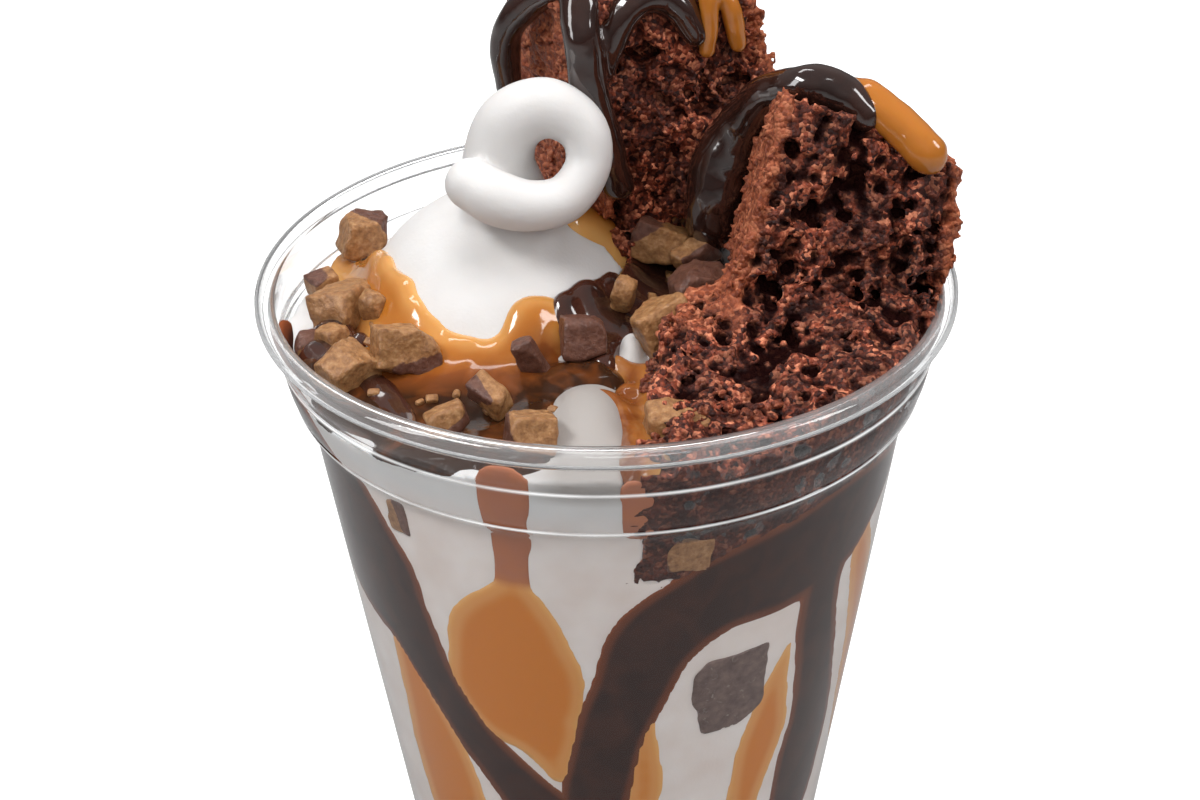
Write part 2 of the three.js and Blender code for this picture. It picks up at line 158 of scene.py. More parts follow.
class Field:
    """Distances on a grid, in millimetres, that become a mesh."""

    def __init__(self, low, high, step):
        steps = np.broadcast_to(step, 3)
        self.axes = [np.arange(a, b + s, s) for a, b, s in zip(low, high, steps)]
        self.step = max(steps)
        self.values = np.full([len(a) for a in self.axes], FAR)

    def grid(self):
        return np.ix_(*self.axes)

    def flat_noise(self, size, seed):
        """Noise over the first two axes."""
        return lattice_noise([*self.axes[:2], np.zeros(1)], size, seed, 2)

    def patch(self, low, high):
        """The part of the grid between two corners, and its coordinates."""
        cut = tuple(slice(max(0, int(np.searchsorted(axis, a)) - 1), int(np.searchsorted(axis, b)) + 1)
                    for axis, a, b in zip(self.axes, low, high))
        return cut, *np.ix_(*(axis[c] for axis, c in zip(self.axes, cut)))

    def balls(self, spots, blend, carve=False):
        """Adds or carves round spots [x, y, z, radius], each blended on its own."""
        for spot in spots:
            middle, radius = spot[:3], spot[3]
            reach = radius + blend + self.step
            cut, *grid = self.patch(middle - reach, middle + reach)
            d = ball(*grid, middle, radius)
            if not d.size:
                continue
            here = self.values[cut]
            self.values[cut] = -unite(-here, d, blend) if carve else unite(here, d, blend)

    def strand(self, points, blend):
        """Adds a round strand through points [x, y, z, radius]."""
        samples = even_path(points, 0.5)
        reach = samples[:, 3].max() + 3 * self.step + 2
        cut = self.patch(samples[:, :3].min(0) - reach, samples[:, :3].max(0) + reach)[0]
        near = Field((0, 0, 0), (0, 0, 0), self.step)
        near.axes = [axis[part] for axis, part in zip(self.axes, cut)]
        near.values = np.full([len(axis) for axis in near.axes], FAR)
        for sample in samples:
            box, *grid = near.patch(sample[:3] - reach, sample[:3] + reach)
            near.values[box] = np.minimum(near.values[box], ball(*grid, sample, sample[3]))
        self.values[cut] = unite(self.values[cut], near.values, blend)

    def near_surface(self, count, within, keep=None):
        """Random places close to the surface."""
        mask = np.abs(self.values) < within
        if keep is not None:
            mask &= keep
        cells = np.argwhere(mask)
        cells = cells[rng.integers(0, len(cells), count)]
        spread = rng.uniform(-0.5, 0.5, (count, 3)) * self.step
        return np.stack([self.axes[i][cells[:, i]] for i in range(3)], 1) + spread

    def mesh(self, relax):
        return surface(self.axes, self.values, relax)

    def sample(self, tone, vertices):
        """The value of a tone grid at each vertex."""
        counts = [len(axis) for axis in self.axes]
        place = [np.interp(vertices[:, i], self.axes[i], np.arange(counts[i])) for i in range(3)]
        place = [np.clip(p, 0, count - 1.001) for p, count in zip(place, counts)]
        low = [p.astype(int) for p in place]
        part = [p - q for p, q in zip(place, low)]
        total = 0
        for corner in np.ndindex(2, 2, 2):
            weight = 1
            for share, far in zip(part, corner):
                weight = weight * (share if far else 1 - share)
            total = total + weight * tone[tuple(q + far for q, far in zip(low, corner))]
        return total


def surface(axes, values, relax):
    """Vertices and quads of the surface where values change sign, relaxed that many times."""
    inside = values < 0
    count = np.zeros([n - 1 for n in values.shape], np.int8)
    for corner in np.ndindex(2, 2, 2):
        count += inside[tuple(slice(i, n - 1 + i) for i, n in zip(corner, inside.shape))]
    active = (count > 0) & (count < 8)
    cells = np.argwhere(active)
    number = np.full(active.shape, -1, np.int64)
    number[active] = np.arange(len(cells))
    total = np.zeros((len(cells), 3))
    hits = np.zeros(len(cells))
    for axis in range(3):
        unit = np.eye(3, dtype=int)[axis]
        for corner in np.ndindex(2, 2, 2):
            if corner[axis]:
                continue
            start = cells + corner
            a = values[tuple(start.T)]
            b = values[tuple((start + unit).T)]
            crossed = (a < 0) != (b < 0)
            share = np.where(crossed, a / np.where(crossed, a - b, 1), 0)
            total += np.where(crossed[:, None], np.array(corner) + share[:, None] * unit, 0)
            hits += crossed
    place = cells + total / hits[:, None]
    vertices = np.stack([np.interp(place[:, i], np.arange(len(axes[i])), axes[i]) for i in range(3)], 1)
    quads = []
    for axis in range(3):
        b, c = (axis + 1) % 3, (axis + 2) % 3
        order = np.moveaxis(inside, axis, 0)
        crossed = np.moveaxis(order[:-1] != order[1:], 0, axis)
        at = np.argwhere(crossed)
        size = np.array(active.shape)
        fits = (at[:, b] > 0) & (at[:, c] > 0) & (at[:, b] < size[b]) & (at[:, c] < size[c])
        at = at[fits]
        eb, ec = np.eye(3, dtype=int)[b], np.eye(3, dtype=int)[c]
        quad = np.stack([number[tuple(q.T)] for q in (at, at - eb, at - eb - ec, at - ec)], 1)
        first = inside[tuple(at.T)]
        quads.append(np.where(first[:, None], quad, quad[:, ::-1]))
    quads = np.vstack(quads)
    quads = quads[(quads >= 0).all(1)]
    for _ in range(relax):
        vertices = relaxed(vertices, quads, 0.5)
    return vertices, quads


def softened(values, reach):
    """The running mean of a grid over reach cells to each side."""
    wide = 2 * reach + 1
    for axis in range(3):
        count = values.shape[axis]
        ends = [(reach + 1, reach) if a == axis else (0, 0) for a in range(3)]
        total = np.cumsum(np.pad(values, ends, mode="edge"), axis)
        values = (total.take(range(wide, wide + count), axis) - total.take(range(count), axis)) / wide
    return values


def relaxed(vertices, quads, share):
    """Vertices moved a share of the way to the mean of their neighbours."""
    a = np.concatenate([quads[:, i] for i in range(4)])
    b = np.concatenate([quads[:, (i + 1) % 4] for i in range(4)])
    ends, others = np.concatenate([a, b]), np.concatenate([b, a])
    degree = np.bincount(ends, minlength=len(vertices))
    mean = np.stack([np.bincount(ends, vertices[others, i], len(vertices)) for i in range(3)], 1)
    mean /= np.maximum(degree, 1)[:, None]
    return vertices + share * (mean - vertices)


def without_specks(vertices, quads, least):
    """Only the shells with at least that many vertices."""
    label = np.arange(len(vertices))
    while True:
        lowest = label.copy()
        for i in range(4):
            for j in range(4):
                np.minimum.at(lowest, quads[:, i], label[quads[:, j]])
        lowest = lowest[lowest]
        if (lowest == label).all():
            break
        label = lowest
    sizes = np.bincount(label, minlength=len(vertices))
    keep = sizes[label] >= least
    new = np.cumsum(keep) - 1
    kept = quads[keep[quads[:, 0]]]
    return vertices[keep], new[kept]


def make_mesh(name, vertices, faces, tones):
    """A mesh from vertices in millimetres and quads, with a number per vertex for each tone."""
    mesh = bpy.data.meshes.new(name)
    sides = faces.shape[1]
    mesh.vertices.add(len(vertices))
    mesh.vertices.foreach_set("co", (vertices * MM).astype(np.float32).ravel())
    mesh.loops.add(faces.size)
    mesh.loops.foreach_set("vertex_index", faces.astype(np.int32).ravel())
    mesh.polygons.add(len(faces))
    mesh.polygons.foreach_set("loop_start", np.arange(0, faces.size, sides, dtype=np.int32))
    mesh.polygons.foreach_set("use_smooth", np.full(len(faces), True))
    mesh.update(calc_edges=True)
    for key, numbers in tones.items():
        attribute = mesh.attributes.new(key, "FLOAT", "POINT")
        attribute.data.foreach_set("value", np.asarray(numbers, np.float32))
    return mesh


def placed(name, mesh, material):
    """An object with that mesh and material, in the scene."""
    made = bpy.data.objects.new(name, mesh)
    made.data.materials.append(material)
    bpy.context.scene.collection.objects.link(made)
    return made


def piece(name, vertices, faces, material, nodes, tones):
    """A piece of the sundae that stands for those nodes, or adds to them where there are none."""
    made = placed(name, make_mesh(name, vertices, faces, tones), material)
    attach(made, "root")
    if nodes:
        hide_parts(*nodes)


def lattice_noise(axes, size, seed, octaves=1):
    """Smooth noise from -1 to 1 on a grid, worked out one axis at a time."""
    total, weight = 0, 0
    for octave in range(octaves):
        cell = size / 2**octave
        table = np.random.default_rng(seed + 97 * octave).uniform(-1, 1, (64, 64, 64))
        for i, axis in enumerate(axes):
            place = (np.asarray(axis) + 311.7) / cell
            low = np.floor(place).astype(int)
            part = place - low
            part = part * part * (3 - 2 * part)
            a = np.take(table, low % 64, axis=i)
            b = np.take(table, (low + 1) % 64, axis=i)
            shape = [1, 1, 1]
            shape[i] = -1
            part = part.reshape(shape)
            table = a * (1 - part) + b * part
        total = total + table * 0.5**octave
        weight += 0.5**octave
    return total / weight * 1.6


# ---------------------------------------------------------------- materials
class Nodes:
    """The node tree of a new material, or of a world that is given."""

    def __init__(self, name, world=None):
        self.material = world or bpy.data.materials.new(name)
        self.material.use_nodes = True
        self.tree = self.material.node_tree
        self.tree.nodes.clear()
        self.out = self.tree.nodes.new("ShaderNodeOutputWorld" if world else "ShaderNodeOutputMaterial")
        self.at = self.add("ShaderNodeTexCoord").outputs["Generated" if world else "Object"]

    def add(self, kind, inputs=None, **settings):
        node = self.tree.nodes.new(kind)
        for key, value in settings.items():
            setattr(node, key, value)
        for key, value in (inputs or {}).items():
            self.put(node.inputs[key], value)
        return node

    def put(self, socket, value):
        if isinstance(value, bpy.types.NodeSocket):
            self.tree.links.new(value, socket)
        elif hasattr(value, "__len__") and len(value) == 3 and len(socket.default_value) == 4:
            socket.default_value = (*value, 1)
        else:
            socket.default_value = value

    def noise(self, size, detail=2.0, roughness=0.5, distortion=0.0):
        """Noise from 0 to 1 whose lumps are about size millimetres."""
        inputs = {"Vector": self.at, "Scale": 1 / (size * MM), "Detail": detail, "Roughness": roughness,
                  "Distortion": distortion}
        return self.add("ShaderNodeTexNoise", inputs).outputs["Fac"]

    def cells(self, size):
        """Round cells of about size millimetres."""
        return self.add("ShaderNodeTexVoronoi", {"Vector": self.at, "Scale": 1 / (size * MM)}).outputs

    def tone(self, name):
        """A number that the mesh carries at each vertex."""
        return self.add("ShaderNodeAttribute", attribute_name=name).outputs["Fac"]

    def ramp(self, value, stops, smooth=False):
        node = self.add("ShaderNodeValToRGB", {"Fac": value})
        bar = node.color_ramp
        bar.interpolation = "EASE" if smooth else "LINEAR"
        while len(bar.elements) < len(stops):
            bar.elements.new(0.5)
        for element, (place, colour) in zip(bar.elements, stops):
            element.position = place
            element.color = (*colour, 1) if hasattr(colour, "__len__") else (colour,) * 3 + (1,)
        return node.outputs["Color"]

    def math(self, kind, a, b, clamp=False):
        return self.add("ShaderNodeMath", {0: a, 1: b}, operation=kind, use_clamp=clamp).outputs[0]

    def times(self, a, b):
        return self.math("MULTIPLY", a, b)

    def plus(self, a, b):
        return self.math("ADD", a, b)

    def mix(self, share, a, b):
        """Colour a, or b where share is 1."""
        node = self.add("ShaderNodeMix", {"Factor": share}, data_type="RGBA")
        for socket, colour in zip([s for s in node.inputs if s.type == "RGBA"], (a, b)):
            self.put(socket, colour)
        return next(s for s in node.outputs if s.type == "RGBA")

    def bump(self, height, distance):
        inputs = {"Height": height, "Distance": distance * MM, "Strength": 1.0}
        return self.add("ShaderNodeBump", inputs).outputs["Normal"]

    def shader(self, kind, **inputs):
        """One shader, its inputs named with _ for a space."""
        return self.add(kind, {key.replace("_", " "): value for key, value in inputs.items()}).outputs[0]

    def either(self, share, a, b):
        """Shader a, or b where share is 1."""
        return self.add("ShaderNodeMixShader", {0: share, 1: a, 2: b}).outputs[0]

    def both(self, a, b):
        return self.add("ShaderNodeAddShader", {0: a, 1: b}).outputs[0]

    def finish(self, shader):
        self.tree.links.new(shader, self.out.inputs["Surface"])
        return self.material

    def surface(self, **inputs):
        return self.finish(self.shader("ShaderNodeBsdfPrincipled", **inputs))


def clear_plastic():
    """Clear moulded plastic. Its shadow is light, as a thin clear wall's is. Painted highlight lines glow
    white along its ridges, with a faint painted glow over its curled rim.
    """
    m = Nodes("clear_plastic")
    ripple = m.bump(m.noise(9, 1.0), 0.05)
    clear = (0.985, 0.988, 0.99)
    glass = m.shader("ShaderNodeBsdfGlass", Color=clear, Roughness=0.0, IOR=1.5, Normal=ripple)
    thin = m.shader("ShaderNodeBsdfTransparent", Color=(0.93, 0.935, 0.94))
    # Painted highlight: where the ridge tone says, the plastic turns to a glowing white instead of clear.
    painted_white = m.shader("ShaderNodeBsdfDiffuse", Color=(1, 1, 1))
    light = m.shader("ShaderNodeEmission", Color=(1, 1, 1), Strength=0.35)
    crest_glow = m.times(m.tone("crest_glow"), m.ramp(m.noise(14, 2.0), [(0.35, 0.45), (0.6, 0.85)]))
    path = m.add("ShaderNodeLightPath").outputs
    soft = m.math("MAXIMUM", path["Is Shadow Ray"], path["Is Diffuse Ray"])
    return m.finish(m.either(soft, m.either(crest_glow, glass, m.both(painted_white, light)), thin))


def soft_serve():
    """Off-white ice cream, warm and lighter where it melts against the wall; painted shade darkens its top
    and greys it beside the brownie.
    """
    m = Nodes("soft_serve")
    broad = m.noise(7, 2.0)
    height = m.plus(m.times(m.noise(0.5, 3.0), 0.25), broad)
    # Painted shade: the ice above the wall line is coloured darker than the melted ice, to hold back the
    # light on its top.
    colour = m.ramp(broad, [(0.3, (0.69, 0.67, 0.657)), (0.7, (0.735, 0.72, 0.71))])
    melted_unshaded = m.ramp(broad, [(0.3, (0.80, 0.69, 0.635)), (0.7, (0.88, 0.80, 0.76))])
    colour = m.mix(m.tone("melt"), colour, melted_unshaded)
    # Painted shadow: the lobes in front, beside the brownie, are coloured grey.
    colour = m.mix(m.tone("shade"), colour, (0.37, 0.34, 0.32))
    return m.surface(Base_Color=colour, Roughness=0.5, Specular_IOR_Level=0.35, Subsurface_Weight=0.25,
                     Subsurface_Radius=(1.0, 0.8, 0.65), Subsurface_Scale=2.0 * MM,
                     Normal=m.bump(height, 0.12))


def brownie():
    """Open dark crumb: painted black shade in its pits, red brown on its peaks, and a smoother baked crust.
    """
    m = Nodes("brownie")
    pit = m.tone("pit")
    crust = m.tone("crust")
    pressed = m.tone("pressed")
    grain = m.noise(0.7, 4.0, 0.65)
    cell = m.cells(0.62)
    each = m.add("ShaderNodeSeparateColor", {"Color": cell["Color"]}).outputs[0]
    mixed = m.plus(m.times(each, 0.45), m.times(grain, 0.55))
    crumb = m.ramp(mixed, [(0.28, (0.030, 0.006, 0.004)), (0.44, (0.12, 0.023, 0.011)),
                           (0.58, (0.34, 0.070, 0.032)), (0.74, (0.85, 0.30, 0.16))])
    patch = m.ramp(m.noise(5.0, 4.0, 0.6), [(0.44, 0.0), (0.56, 0.85)])
    crumb = m.mix(patch, crumb, m.mix(0.7, crumb, (0.020, 0.005, 0.004)))
    baked = m.ramp(mixed, [(0.25, (0.16, 0.030, 0.011)), (0.55, (0.38, 0.095, 0.038)),
                           (0.8, (0.60, 0.21, 0.10))])
    colour = m.mix(crust, crumb, baked)
    # Painted shade: near black where the pit tone is high, with no shine there.
    deep = m.ramp(pit, [(0.12, 0.0), (0.5, 0.75), (0.9, 0.98)])
    colour = m.mix(deep, colour, (0.010, 0.003, 0.003))
    smeared = m.mix(patch, (0.085, 0.032, 0.024), (0.035, 0.013, 0.011))
    colour = m.mix(m.times(pressed, 0.8), colour, smeared)
    dome = m.times(cell["Distance"], -1.0)
    tiny = m.plus(m.times(m.noise(0.3, 3.0, 0.7), 0.5), dome)
    rough = m.math("MAXIMUM", m.ramp(grain, [(0.3, 0.35), (0.7, 0.7)]), pressed)
    shine = m.times(m.math("SUBTRACT", 1.0, m.math("MAXIMUM", pressed, pit), clamp=True), 0.4)
    return m.surface(Base_Color=colour, Roughness=rough, Specular_IOR_Level=shine,
                     Normal=m.bump(tiny, 0.42))


def sauce(name, thick, thin, middle=None, dark=None, roughness=0.5, subsurface=0.0, gloss=0.0, coat=0.4):
    """A sauce, thin to thick in colour, then over middle to dark, and duller, where the tone says so."""
    m = Nodes(name)
    swirl = m.noise(6, 3.0, 0.5, 1.2)
    half_way = tuple(0.5 * (a + b) for a, b in zip(thin, thick))
    colour = m.ramp(m.tone("depth"), [(0.0, thin), (0.45, half_way), (1.0, thick)], True)
    shine = 0.6 * gloss
    coat = coat * gloss
    if dark is None:
        colour = m.mix(m.ramp(swirl, [(0.35, 0.0), (0.75, 0.12 + 0.23 * gloss)]), colour, thin)
    else:
        share = m.times(m.tone("dark"), m.ramp(swirl, [(0.3, 0.7), (0.6, 1.0)]))
        colour = m.mix(m.ramp(share, [(0.0, 0.0), (0.5, 1.0)]), colour, middle)
        colour = m.mix(m.ramp(share, [(0.4, 0.0), (0.95, 1.0)]), colour, dark)
        if gloss:
            wet = m.ramp(share, [(0.1, 1.0), (0.8, 0.22)])
            shine = m.times(wet, shine)
            coat = m.times(wet, coat)
    normal = m.bump(m.noise(3.5, 2.0), 0.10)
    return m.surface(Base_Color=colour, Roughness=roughness, IOR=1.48, Specular_IOR_Level=shine,
                     Coat_Weight=coat, Coat_Roughness=0.03, Subsurface_Weight=subsurface,
                     Subsurface_Radius=(1.0, 0.45, 0.15), Subsurface_Scale=1.5 * MM, Normal=normal,
                     Coat_Normal=normal)


def candy():
    """Cut toffee with a thin coat of milk chocolate where the tone says so."""
    m = Nodes("candy")
    grain = m.noise(0.9, 4.0, 0.6)
    toffee = m.ramp(grain, [(0.3, (0.19, 0.082, 0.030)), (0.55, (0.36, 0.175, 0.070)),
                            (0.8, (0.52, 0.31, 0.15))])
    milk = m.ramp(grain, [(0.3, (0.085, 0.032, 0.021)), (0.7, (0.17, 0.075, 0.05))])
    uneven = m.times(m.math("SUBTRACT", m.noise(1.2, 3.0), 0.5), 0.5)
    edge = m.plus(m.tone("coat"), uneven)
    colour = m.mix(m.ramp(edge, [(0.45, 0.0), (0.55, 1.0)]), toffee, milk)
    height = m.plus(m.noise(0.5, 4.0, 0.6), m.times(m.cells(1.3)["Distance"], 0.6))
    return m.surface(Base_Color=colour, Roughness=0.38, Specular_IOR_Level=0.45, Subsurface_Weight=0.1,
                     Subsurface_Radius=(1.0, 0.5, 0.25), Subsurface_Scale=1.0 * MM,
                     Normal=m.bump(height, 0.22))


def chocolate():
    """Milk chocolate pressed against the wall, scratched pale in places."""
    m = Nodes("chocolate")
    grain = m.noise(1.4, 4.0, 0.6)
    scratch = m.ramp(m.noise(2.6, 5.0, 0.7, 2.0), [(0.60, 0.0), (0.68, 1.0)])
    colour = m.ramp(grain, [(0.3, (0.09, 0.050, 0.042)), (0.7, (0.20, 0.125, 0.105))])
    colour = m.mix(m.times(scratch, 0.5), colour, (0.45, 0.38, 0.34))
    return m.surface(Base_Color=colour, Roughness=0.45, Normal=m.bump(m.noise(0.9, 4.0, 0.65), 0.25))


CLEAR = clear_plastic()
ICE = soft_serve()
CRUMB = brownie()
FUDGE = sauce("fudge", (0.020, 0.0085, 0.0065), (0.075, 0.022, 0.012), roughness=0.12, gloss=1.0, coat=1.0)
CARAMEL = sauce("caramel", (0.46, 0.155, 0.020), (0.72, 0.38, 0.12), (0.23, 0.062, 0.013),
                (0.034, 0.013, 0.006), roughness=0.1, subsurface=0.2, gloss=1.0)
WALL_FUDGE = sauce("wall_fudge", (0.034, 0.014, 0.011), (0.24, 0.065, 0.025))
WALL_CARAMEL = sauce("wall_caramel", (0.64, 0.205, 0.030), (0.80, 0.42, 0.15), (0.486, 0.174, 0.072),
                     (0.42, 0.16, 0.09), subsurface=0.15)
CANDY = candy()
CHOCOLATE = chocolate()


# ---------------------------------------------------------------- the cup
def normals(line):
    """Unit vectors across a line of points, to its right."""
    along = np.gradient(line, axis=0)
    along /= np.linalg.norm(along, axis=1)[:, None]
    return np.stack([along[:, 1], -along[:, 0]], 1)


def cup_line():
    """The middle line of the cup's wall [radius, height], from the middle of the base to the curled rim."""
    half = WALL / 2
    base = [(0.01, 2.0), (12, 2.0), (22.6, 2.0), (23.8, 1.7), (24.6, 0.8), (25.6, 0.42), (27.2, 0.42),
            (28.6, 0.46), (29.6, 0.9), (30.2, 1.9)]
    wall = [(BASE_RADIUS + WALL_SLOPE * z - half, z) for z in np.linspace(3.2, WALL_TOP - 1.4, 14)]
    foot = BASE_RADIUS + WALL_SLOPE * WALL_TOP - half
    low, high, neck = RIDGE_LOW_RADIUS - half, RIDGE_HIGH_RADIUS - half, NECK_RADIUS - half
    flare = [(foot - 0.05, WALL_TOP - 0.6), (foot + 0.3, WALL_TOP + 0.5), (foot + 1.1, WALL_TOP + 1.3),
             (low - 0.55, RIDGE_LOW - 0.3), (low - 0.12, RIDGE_LOW - 0.12), (low, RIDGE_LOW + 0.12),
             (low - 0.2, RIDGE_LOW + 0.42)]
    low_band = [(low + 0.25, RIDGE_LOW + 1.2), (low + 0.75, RIDGE_LOW + 2.9), (low + 1.1, RIDGE_LOW + 4.6),
                (high - 0.3, RIDGE_HIGH - 0.9), (high - 0.4, RIDGE_HIGH - 0.4),
                (high - 0.05, RIDGE_HIGH - 0.14), (high, RIDGE_HIGH + 0.1), (high - 0.25, RIDGE_HIGH + 0.4)]
    high_band = [(neck - 0.3, RIDGE_HIGH + 1.2), (neck, RIDGE_HIGH + 2.4), (neck - 0.05, RIDGE_HIGH + 3.8),
                 (neck - 0.15, NECK_TOP - 0.4)]
    top = CUP_HEIGHT - RIM_HALF - RIM_RADIUS
    curl = [(RIM_CENTRE + RIM_RADIUS * math.cos(a), top + RIM_RADIUS * math.sin(a) - (0.35 if a < 0 else 0))
            for a in np.radians(np.linspace(180, -70, RIM_POINTS))]
    return base + wall + flare + low_band + high_band + curl


def turned(line, around):
    """A closed line [radius, height] turned about the axis."""
    turn = np.linspace(0, 2 * np.pi, around, endpoint=False)
    n = len(line)
    x = line[None, :, 0] * np.sin(turn)[:, None]
    y = -line[None, :, 0] * np.cos(turn)[:, None]
    z = np.broadcast_to(line[None, :, 1], x.shape)
    vertices = np.stack([x, y, z], -1).reshape(-1, 3)
    i, j = np.meshgrid(np.arange(around), np.arange(n), indexing="ij")
    a, b = i * n + j, i * n + (j + 1) % n
    c, d = ((i + 1) % around) * n + (j + 1) % n, ((i + 1) % around) * n + j
    return vertices, np.stack([a, d, c, b], -1).reshape(-1, 4)


def make_cup():
    line = np.array(cup_line())
    half = np.full(len(line), WALL / 2)
    half[-RIM_POINTS - 2 :] = RIM_HALF
    across = normals(line) * half[:, None]
    ends = np.vstack([line + across, (line - across)[::-1]])
    ends[:, 0] = np.maximum(ends[:, 0], 0.01)
    vertices, faces = turned(ends, AROUND_CUP)
    # Painted highlight lines along the two ridges, and a faint painted glow over the curl.
    crest_glow = np.zeros(len(ends))
    for height in (RIDGE_LOW, RIDGE_HIGH):
        crest_glow = np.maximum(crest_glow, np.abs(ends[:, 1] - height) < 0.2)
    crest_glow[len(line):] = 0
    crest_glow = np.maximum(crest_glow, 0.06 * (ends[:, 1] > NECK_TOP))
    tones = {"crest_glow": np.tile(crest_glow, AROUND_CUP)}
    piece("cup_clear", vertices, faces, CLEAR, ["cup"], tones)


def inner_radius(z):
    """The inside of the cup's wall."""
    foot = BASE_RADIUS + WALL_SLOPE * WALL_TOP - WALL
    low_wall = FLOOR_TOP + 2.2
    line = [(0, 27.6), (FLOOR_TOP + 0.1, 28.4), (low_wall, BASE_RADIUS + WALL_SLOPE * low_wall - WALL),
            (WALL_TOP, foot), (WALL_TOP + 1.3, foot + 0.9), (RIDGE_LOW, RIDGE_LOW_RADIUS - WALL),
            (RIDGE_LOW + 2.9, RIDGE_LOW_RADIUS + 0.75 - WALL),
            (RIDGE_HIGH - 0.9, RIDGE_HIGH_RADIUS - 0.3 - WALL),
            (RIDGE_HIGH + 1.2, NECK_RADIUS - 0.3 - WALL), (RIDGE_HIGH + 2.4, NECK_RADIUS - WALL),
            (NECK_TOP, NECK_RADIUS - 0.15 - WALL), (CUP_HEIGHT, NECK_RADIUS - 0.15 - WALL)]
    return np.interp(z, *zip(*line))


# ---------------------------------------------------------------- soft serve
BROWNIE_BACK = [
    [2.5, 8.5, 101], [31, 17, 103], [-3.4, 10.6, 144.6], [19.8, 16.4, 141.6],
    [-9, 27, 100], [18, 36, 102], [-13.2, 26.5, 139.5], [9.5, 34.5, 142.8],
]
BROWNIE_RIGHT = [
    [12.5, -19.5, 92], [44.6, -12.5, 92], [24.2, -7, 135.4], [47.6, -5.2, 123.9],
    [13, -4, 91], [43.2, 5.5, 92], [23.8, 7.4, 132.8], [45.6, 9, 121],
]
BROWNIE_FOOT = [
    [3.5, -52, 84.5], [53, -32, 87], [1.6, -52, 102.5], [43, -28, 105.6],
    [8, -12, 85], [45, -6, 89], [11, -12, 108], [43.5, -6, 112.5],
]
DOME = ((-15, 10, 92), (21.5, 25, 22))
LOBES = [
    ((-3, -30.5, 96), (6.6, 12, 8)), ((3.4, -12.6, 98), (2.3, 5.2, 5.6)), ((-31, 18, 96), (8, 8, 5.5)),
]
CURL = [
    [-12, 8, 106, 8], [-14, 7, 116, 6], [-14.6, 6.2, 122, 5], [-12.6, 5.6, 127.6, 4.6],
    [-7.6, 4.8, 130, 4.1], [-2.9, 3.6, 127.4, 3.5], [-2.1, 2, 122.8, 3.2], [-5.2, -0.6, 119, 3.3],
    [-10, -2.2, 118.6, 3.5], [-14.6, -2.2, 119.8, 3.8], [-18.2, -0.4, 121.2, 3.6],
]


def level(x, y):
    """Height of the filling away from the dome."""
    pool = np.exp(-(((x + 21) / 15) ** 2) - ((y + 27) / 11) ** 2)
    stream = np.exp(-(((x - 4) / 3) ** 2) - ((y + 28) / 14) ** 2)
    return LEVEL_CENTRE + 0.03 * x - 0.045 * y - 3 * pool - 2 * stream


def bed(x, y, z):
    """Distance to the filling and its dome, without the lobes and the curl."""
    return unite(z - level(x, y), ellipsoid(x, y, z, *DOME), 4)


def make_soft_serve():
    """The filling, in coarse steps of height down the plain wall and fine ones at the top."""
    field = Field((-47.2, -47.2, 1.0), (47.2, 47.2, 2.0), ICE_STEP)
    field.axes[2] = np.concatenate([np.arange(1.0, 86, 1.5), np.arange(86.2, 135, ICE_STEP)])
    x, y, z = field.grid()
    field.values = np.broadcast_to(bed(x, y, z), [len(a) for a in field.axes]).copy()
    field.values += 0.35 * lattice_noise(field.axes, 13, 5, 2) * clamp((z - 90) / 8)
    for centre, radii in LOBES:
        reach = max(radii) + 3
        cut, a, b, c = field.patch(np.array(centre) - reach, np.array(centre) + reach)
        field.values[cut] = unite(field.values[cut], ellipsoid(a, b, c, centre, radii), 2.0)
    field.strand(CURL, 1.2)
    clear = 2.2 * clamp((z - 98) / 2)
    for corners in (BROWNIE_RIGHT, BROWNIE_FOOT, BROWNIE_BACK):
        field.values = np.maximum(field.values, clear - block(x, y, z, corners, 1.5))
    side = np.hypot(x, y) - inner_radius(z) - REACH_ICE
    field.values = np.maximum(field.values, np.maximum(side, FLOOR_TOP - 0.15 - z))
    vertices, quads = field.mesh(relax=1)
    x, y, z = vertices.T
    # Where the brownie's painted shadow greys the ice.
    shade = clamp((-9 - y) / 14) * clamp((z - 98) / 2) * clamp((x + 12) / 6)
    # The melt tone is 1 low on the wall, where the ice is warm and lighter, and 0 on top, where painted
    # shade darkens it.
    tones = {"melt": clamp((97 - z) / 5), "shade": shade}
    piece("soft_serve_body", vertices, quads, ICE, ["soft_serve"], tones)


